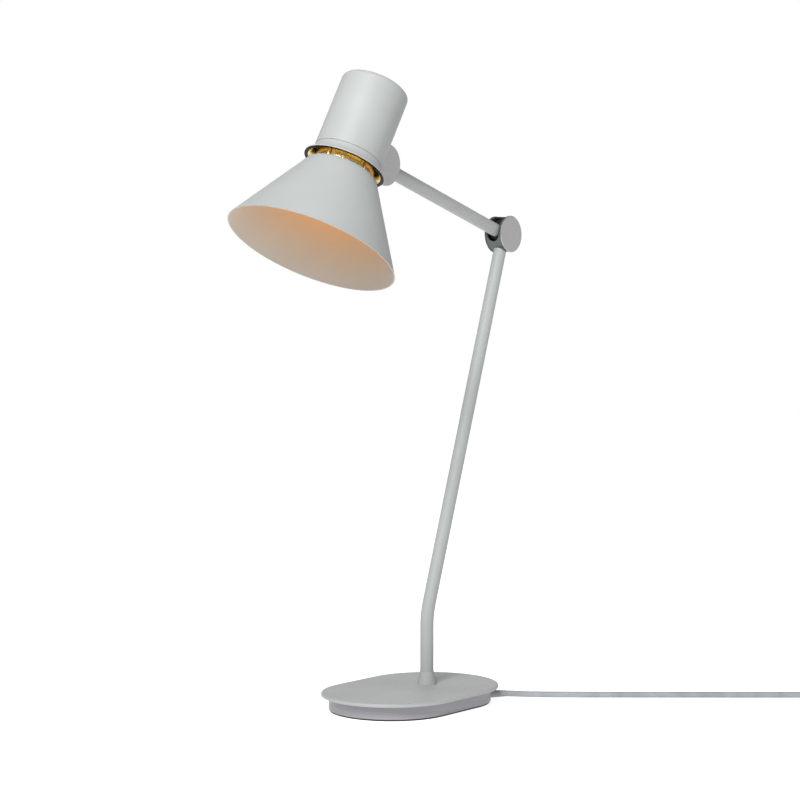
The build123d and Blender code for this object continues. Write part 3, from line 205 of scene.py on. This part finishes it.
class Material:
    """A node material being built, with its shader and a way to add linked nodes."""

    def __init__(self, name):
        self.material = bpy.data.materials.new(name)
        self.material.use_nodes = True
        self.tree = self.material.node_tree
        self.shader = self.tree.nodes["Principled BSDF"]
        self.coordinates = self.add("ShaderNodeTexCoord").outputs["Object"]

    def add(self, kind, links=(), **values):
        """A node of a kind, with inputs set by name or linked from other sockets."""
        node = self.tree.nodes.new(kind)
        for name, value in values.items():
            setattr(node, name, value)
        for key, source in dict(links).items():
            if isinstance(source, bpy.types.NodeSocket):
                self.tree.links.new(source, node.inputs[key])
            else:
                node.inputs[key].default_value = source
        return node

    def set(self, **values):
        """Plain values or links for the shader's own inputs, named with underscores."""
        for name, value in values.items():
            socket = self.shader.inputs[name.replace("_", " ")]
            if isinstance(value, bpy.types.NodeSocket):
                self.tree.links.new(value, socket)
            else:
                socket.default_value = value

    def noise(self, scale, detail=2.0, coordinates=None):
        """A noise pattern, its scale in features per metre."""
        source = coordinates or self.coordinates
        links = {"Vector": source, "Scale": scale, "Detail": detail}
        return self.add("ShaderNodeTexNoise", links).outputs["Fac"]

    def spread(self, pattern, low, high, start=0.35, end=0.65):
        """A pattern mapped from its middle range to a range of values."""
        links = {"Value": pattern, "From Min": start, "From Max": end}
        links |= {"To Min": low, "To Max": high}
        return self.add("ShaderNodeMapRange", links).outputs["Result"]

    def blend(self, share, first, second):
        """A mix of two colours."""
        node = self.add("ShaderNodeMix", data_type="RGBA")
        sockets = [s for s in node.inputs if s.enabled]
        for socket, value in zip(sockets, (share, first, second)):
            if isinstance(value, bpy.types.NodeSocket):
                self.tree.links.new(value, socket)
            else:
                socket.default_value = value
        return [s for s in node.outputs if s.enabled][0]

    def bump(self, height, strength, distance):
        """A bump of a height pattern, its distance in metres."""
        links = {"Height": height, "Strength": strength, "Distance": distance}
        self.set(Normal=self.add("ShaderNodeBump", links).outputs["Normal"])


def shade_of(colour, factor):
    """A colour made lighter or darker."""
    return (*[min(1.0, part * factor) for part in colour[:3]], 1.0)


PAINT_COLOUR = (0.322, 0.337, 0.334, 1)
LINING_COLOUR = (0.365, 0.352, 0.33, 1)
# painted warm glow and painted shade of the bulb, deep in the shade towards its neck
LINING_GLOW_SHADE_COLOUR = (0.38, 0.205, 0.06, 1)
SKIRT_COLOUR = (0.255, 0.25, 0.27, 1)
DISC_COLOUR = (0.47, 0.46, 0.465, 1)
BARREL_COLOUR = (0.10, 0.113, 0.116, 1)
DARK_COLOUR = (0.02, 0.022, 0.024, 1)
STEEL_COLOUR = (0.42, 0.42, 0.43, 1)
NICKEL_COLOUR = (0.62, 0.60, 0.57, 1)
BRASS_COLOUR = (0.62, 0.42, 0.16, 1)
REFLECTOR_COLOUR = (1.0, 0.76, 0.38, 1)
IRON_COLOUR = (0.035, 0.035, 0.037, 1)
RUBBER_COLOUR = (0.018, 0.018, 0.019, 1)
SHEATH_COLOUR = (0.26, 0.275, 0.29, 1)
PLUG_COLOUR = (0.16, 0.17, 0.18, 1)
BLACK_COLOUR = (0.016, 0.016, 0.017, 1)
CERAMIC_COLOUR = (0.72, 0.70, 0.64, 1)
BULB_COLOUR = (0.80, 0.76, 0.68, 1)
GLOW_COLOUR = (1.0, 0.58, 0.19, 1)
GLOW_STRENGTH = 1.2
GLOW_WATTS = 0.15
GLOW_RADIUS = 0.012
GLOW_OFFSET = Vector((0.014, 0.011, 0))  # the lit filament sits to one side of the glass
GLOW_SHADE_SPAN = (-0.175, -0.105)  # where the painted bulb glow and painted shade fade in, along the head, from the switch's nut
BRUSH_FINE = 2600.0  # marks per metre, across them
BRUSH_LONG = 22.0  # and along them
# Depths of the surfaces' bumps.
COAT_GRAIN = 0.00005
METAL_GRAIN = 0.00004
MOULD_GRAIN = 0.0001
GLAZE_WAVE = 0.0002


def powder_coat(name, colour):
    """Matte stoved powder paint: a faint mottle and the fine grain of the coat."""
    made = Material(name)
    mottle = made.spread(made.noise(14, detail=4), 0, 1)
    made.set(
        Base_Color=made.blend(mottle, shade_of(colour, 0.96), shade_of(colour, 1.04)),
        Roughness=made.spread(made.noise(380), 0.5, 0.6),
        Specular_IOR_Level=0.32,
    )
    made.bump(made.noise(1700, detail=3), strength=0.16, distance=COAT_GRAIN)
    return made.material


def satin_lining(name, colour, glow_shade_colour):
    """The shade's inside: satin off-white paint, with a painted warm glow and painted shade of the bulb towards
    the neck.
    """
    made = Material(name)
    links = {0: made.coordinates, 1: HEAD_LINE}
    place = made.add("ShaderNodeVectorMath", links, operation="SUBTRACT").outputs[0]
    links = {0: place, 1: HEAD_UP}
    height = made.add("ShaderNodeVectorMath", links, operation="DOT_PRODUCT").outputs["Value"]
    # the share of painted bulb glow and painted shade, growing towards the neck
    glow_shade_share = made.spread(height, 0, 1, *GLOW_SHADE_SPAN)
    mottle = made.spread(made.noise(11, detail=3), 0, 1)
    plain = made.blend(mottle, shade_of(colour, 0.97), shade_of(colour, 1.03))
    made.set(
        Base_Color=made.blend(glow_shade_share, plain, glow_shade_colour),
        Roughness=made.spread(made.noise(260), 0.52, 0.62),
        Specular_IOR_Level=0.35,
    )
    made.bump(made.noise(1500, detail=3), strength=0.12, distance=COAT_GRAIN)
    return made.material


def brushed_metal(name, colour, roughness, grain, contrast=0.16, metallic=0.7):
    """Bare metal with brush marks: a noise pattern drawn out along all axes but one."""
    made = Material(name)
    drawn = made.add("ShaderNodeMapping", {"Vector": made.coordinates, "Scale": grain})
    marks = made.noise(1.0, detail=5, coordinates=drawn.outputs["Vector"])
    tone = made.spread(marks, 0, 1)
    darker, lighter = shade_of(colour, 1 - contrast), shade_of(colour, 1 + contrast)
    made.set(
        Base_Color=made.blend(tone, darker, lighter),
        Roughness=made.spread(marks, roughness + 0.08, roughness - 0.06),
        Metallic=metallic,
    )
    made.bump(marks, strength=contrast, distance=METAL_GRAIN)
    return made.material


def plain_metal(name, colour, roughness):
    """Plated or polished metal with a slightly uneven surface and fine wear."""
    made = Material(name)
    wear = made.spread(made.noise(160, detail=5), 0, 1)
    made.set(
        Base_Color=made.blend(wear, shade_of(colour, 0.88), shade_of(colour, 1.08)),
        Roughness=made.spread(made.noise(520, detail=3), roughness, roughness + 0.12),
        Metallic=1.0,
    )
    made.bump(made.noise(900, detail=3), strength=0.08, distance=METAL_GRAIN)
    return made.material


def moulding(name, colour, roughness, grain):
    """Moulded rubber, plastic or raw casting: a fine grain and a faint mottle."""
    made = Material(name)
    mottle = made.spread(made.noise(45, detail=3), 0, 1)
    made.set(
        Base_Color=made.blend(mottle, shade_of(colour, 0.88), shade_of(colour, 1.12)),
        Roughness=made.spread(made.noise(grain / 3), roughness, roughness + 0.1),
        Specular_IOR_Level=0.4,
    )
    made.bump(made.noise(grain, detail=3), strength=0.3, distance=MOULD_GRAIN)
    return made.material


def glazed(name, colour):
    """Glazed ceramic with a soft, slightly wavy gloss."""
    made = Material(name)
    cloud = made.spread(made.noise(60, detail=3), 0, 1)
    made.set(
        Base_Color=made.blend(cloud, shade_of(colour, 0.94), colour),
        Roughness=made.spread(made.noise(200), 0.12, 0.2),
        Coat_Weight=0.4,
    )
    made.bump(made.noise(120), strength=0.08, distance=GLAZE_WAVE)
    return made.material


def frosted_glow(name, colour):
    """The lit bulb: frosted glass that glows, a little stronger where the frosting is thin."""
    made = Material(name)
    frost = made.noise(90, detail=4)
    made.set(
        Base_Color=made.blend(made.spread(frost, 0, 1), shade_of(colour, 0.95), colour),
        Roughness=made.spread(made.noise(700), 0.35, 0.5),
        Emission_Color=GLOW_COLOUR,
        Emission_Strength=made.spread(frost, GLOW_STRENGTH * 0.9, GLOW_STRENGTH * 1.1),
    )
    made.bump(made.noise(1400), strength=0.1, distance=COAT_GRAIN)
    return made.material


LEVEL_BRUSH = (BRUSH_LONG, BRUSH_LONG, BRUSH_FINE)
paint = powder_coat("paint", PAINT_COLOUR)
finishes = {
    "paint": paint,
    "shade_metal": paint,
    "skirt_metal": brushed_metal(
        "skirt_metal", SKIRT_COLOUR, 0.45, LEVEL_BRUSH, contrast=0.1, metallic=0.35
    ),
    "joint_metal": brushed_metal("joint_metal", DISC_COLOUR, 0.5, LEVEL_BRUSH, contrast=0.05),
    "dark_steel": plain_metal("dark_steel", DARK_COLOUR, 0.45),
    "steel": plain_metal("steel", STEEL_COLOUR, 0.32),
    "nickel": plain_metal("nickel", NICKEL_COLOUR, 0.14),
    "brass": plain_metal("brass", BRASS_COLOUR, 0.24),
    "reflector": plain_metal("reflector", REFLECTOR_COLOUR, 0.2),
    "iron": moulding("iron", IRON_COLOUR, 0.72, 700),
    "rubber": moulding("rubber", RUBBER_COLOUR, 0.78, 900),
    "cord": moulding("cord", SHEATH_COLOUR, 0.5, 1200),
    "plastic": moulding("plastic", PLUG_COLOUR, 0.46, 1300),
    "black_plastic": moulding("black_plastic", BLACK_COLOUR, 0.42, 1300),
    "ceramic": glazed("ceramic", CERAMIC_COLOUR),
    "bulb_glass": frosted_glow("bulb_glass", BULB_COLOUR),
}
barrel_metal = brushed_metal("barrel_metal", BARREL_COLOUR, 0.4, LEVEL_BRUSH)
lining = satin_lining("shade_lining", LINING_COLOUR, LINING_GLOW_SHADE_COLOUR)

for part in frame["record"]["subparts"]:
    mesh = nodes[part["node"]].data
    mesh.materials.clear()
    mesh.materials.append(finishes[part["material_slot"]])


def second_finish(node, material, chosen):
    """Another finish on the faces of a node whose centre and normal pass a test."""
    mesh = nodes[node].data
    mesh.materials.append(material)
    for face in mesh.polygons:
        if chosen(face.center, face.normal):
            face.material_index = len(mesh.materials) - 1


def faces_the_line(centre, normal):
    """True on the inside of a turned piece of the head."""
    out = centre - HEAD_LINE
    out -= HEAD_UP * out.dot(HEAD_UP)
    return normal.dot(out) < 0 or normal.dot(HEAD_UP) < LEVEL_UNDERSIDE


def in_bore(joint, centre, normal):
    """True on the wall of a joint's bore."""
    across = Vector(joint["axis"])
    out = centre - Vector(joint["pos_m"])
    out -= across * out.dot(across)
    return out.length < BORE_REACH and normal.dot(out) < 0


second_finish("shade_cone", lining, faces_the_line)
# the collar lip's underside and the head joint's bore are painted near black, as painted shade under the lip and
# inside the bore
second_finish(
    "head_collar",
    finishes["dark_steel"],
    lambda centre, normal: normal.dot(HEAD_UP) < COLLAR_SHADED_UNDERSIDE
    or in_bore(head_hinge, centre, normal),
)
nodes["elbow_barrel"].data.materials[0] = barrel_metal
# the bore's walls, seen through the barrel's window, are painted near black as painted shade inside the barrel
second_finish(
    "elbow_barrel",
    finishes["dark_steel"],
    lambda centre, normal: in_bore(elbow_hinge, centre, normal),
)
nodes["shade_posts"].data.materials[0] = finishes["reflector"]
rim_height = min(vertex.co.dot(HEAD_UP) for vertex in nodes["reflector_ring"].data.vertices)
# the reflector's lowest band is painted near black, as painted shade under the collar's lip
second_finish(
    "reflector_ring",
    finishes["dark_steel"],
    lambda centre, normal: centre.dot(HEAD_UP) < rim_height + SHADED_RIM_BAND,
)
for end, joint in (("elbow", elbow_hinge), ("head", head_hinge)):
    line = Vector(joint["axis"])
    for side in ("left", "right"):
        disc = f"{end}_disc_{side}"
        for finish, limit in ((finishes["steel"], DISC_BEVEL), (barrel_metal, DISC_EDGE)):
            second_finish(disc, finish, lambda centre, normal: abs(normal.dot(line)) < limit)

lead = make_cord()
lead.data.materials.append(finishes["cord"])

# ------------------------------------------------------------------ floor and light

FLOOR_REACH = 6.0
FLOOR_COLOUR = (0.6, 0.6, 0.6, 1)
FLOOR_GLOW = 0.78  # a lit table top, so that the floor stays white to its far edge
SKY_STRENGTH = 1.0
BACKDROP = Vector((-0.61, 0.79, 0))  # the way to the bright backdrop
BACKDROP_SPAN = (0.78, 0.93)  # cosines from it, where the dimmer surround turns bright
DIM_SHARE = 0.42
KEY_PLACE = Vector((0.59, -1.63, 1.79))
KEY_SIDE = 0.9
KEY_WATTS = 62
KEY_AIM = Vector((0, -0.02, 0.28))


def lay_floor():
    """A plain pale floor, level with the underside of the base."""
    mesh = bpy.data.meshes.new("floor")
    signs = ((-1, -1), (1, -1), (1, 1), (-1, 1))
    corners = [(x * FLOOR_REACH, y * FLOOR_REACH, 0) for x, y in signs]
    mesh.from_pydata(corners, [], [(0, 1, 2, 3)])
    floor = bpy.data.objects.new("floor", mesh)
    scene.collection.objects.link(floor)
    pale = Material("floor")
    cloud = pale.spread(pale.noise(3), 0, 1)
    pale.set(
        Base_Color=pale.blend(cloud, shade_of(FLOOR_COLOUR, 0.99), FLOOR_COLOUR),
        Roughness=0.9,
        Emission_Color=(1, 1, 1, 1),
        Emission_Strength=FLOOR_GLOW,
    )
    mesh.materials.append(pale.material)


def hang_key_lamp():
    """A square studio lamp, in front and above, that faces the object."""
    data = bpy.data.lights.new("key", "AREA")
    data.shape = "RECTANGLE"
    data.size = data.size_y = KEY_SIDE
    data.energy = KEY_WATTS
    lamp = bpy.data.objects.new("key", data)
    scene.collection.objects.link(lamp)
    lamp.location = KEY_PLACE
    lamp.rotation_euler = (KEY_AIM - KEY_PLACE).to_track_quat("-Z", "Y").to_euler()


def light_surround():
    """A white backdrop in a dimmer surround."""
    world = bpy.data.worlds.new("surround")
    scene.world = world
    world.use_nodes = True
    tree = world.node_tree
    way = tree.nodes.new("ShaderNodeTexCoord").outputs["Generated"]
    lean = tree.nodes.new("ShaderNodeVectorMath")
    lean.operation = "DOT_PRODUCT"
    lean.inputs[1].default_value = BACKDROP
    tree.links.new(way, lean.inputs[0])
    fade = tree.nodes.new("ShaderNodeMapRange")
    fade.interpolation_type = "SMOOTHSTEP"
    fade.inputs["From Min"].default_value = BACKDROP_SPAN[0]
    fade.inputs["From Max"].default_value = BACKDROP_SPAN[1]
    fade.inputs["To Min"].default_value = SKY_STRENGTH * DIM_SHARE
    fade.inputs["To Max"].default_value = SKY_STRENGTH
    tree.links.new(lean.outputs["Value"], fade.inputs["Value"])
    surround = tree.nodes["Background"]
    surround.inputs["Color"].default_value = (1, 1, 1, 1)
    tree.links.new(fade.outputs["Result"], surround.inputs["Strength"])


def light_bulb():
    """The warm light that the bulb throws on the shade and its reflector."""
    data = bpy.data.lights.new("bulb_light", "POINT")
    data.color = GLOW_COLOUR[:3]
    data.energy = GLOW_WATTS
    data.shadow_soft_size = GLOW_RADIUS
    glow = bpy.data.objects.new("bulb_light", data)
    scene.collection.objects.link(glow)
    glow.location = sum(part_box("bulb_glass"), Vector()) / 2 + GLOW_OFFSET
    nodes["bulb_glass"].visible_shadow = False
    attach(glow, "head")


lay_floor()
light_surround()
hang_key_lamp()
light_bulb()
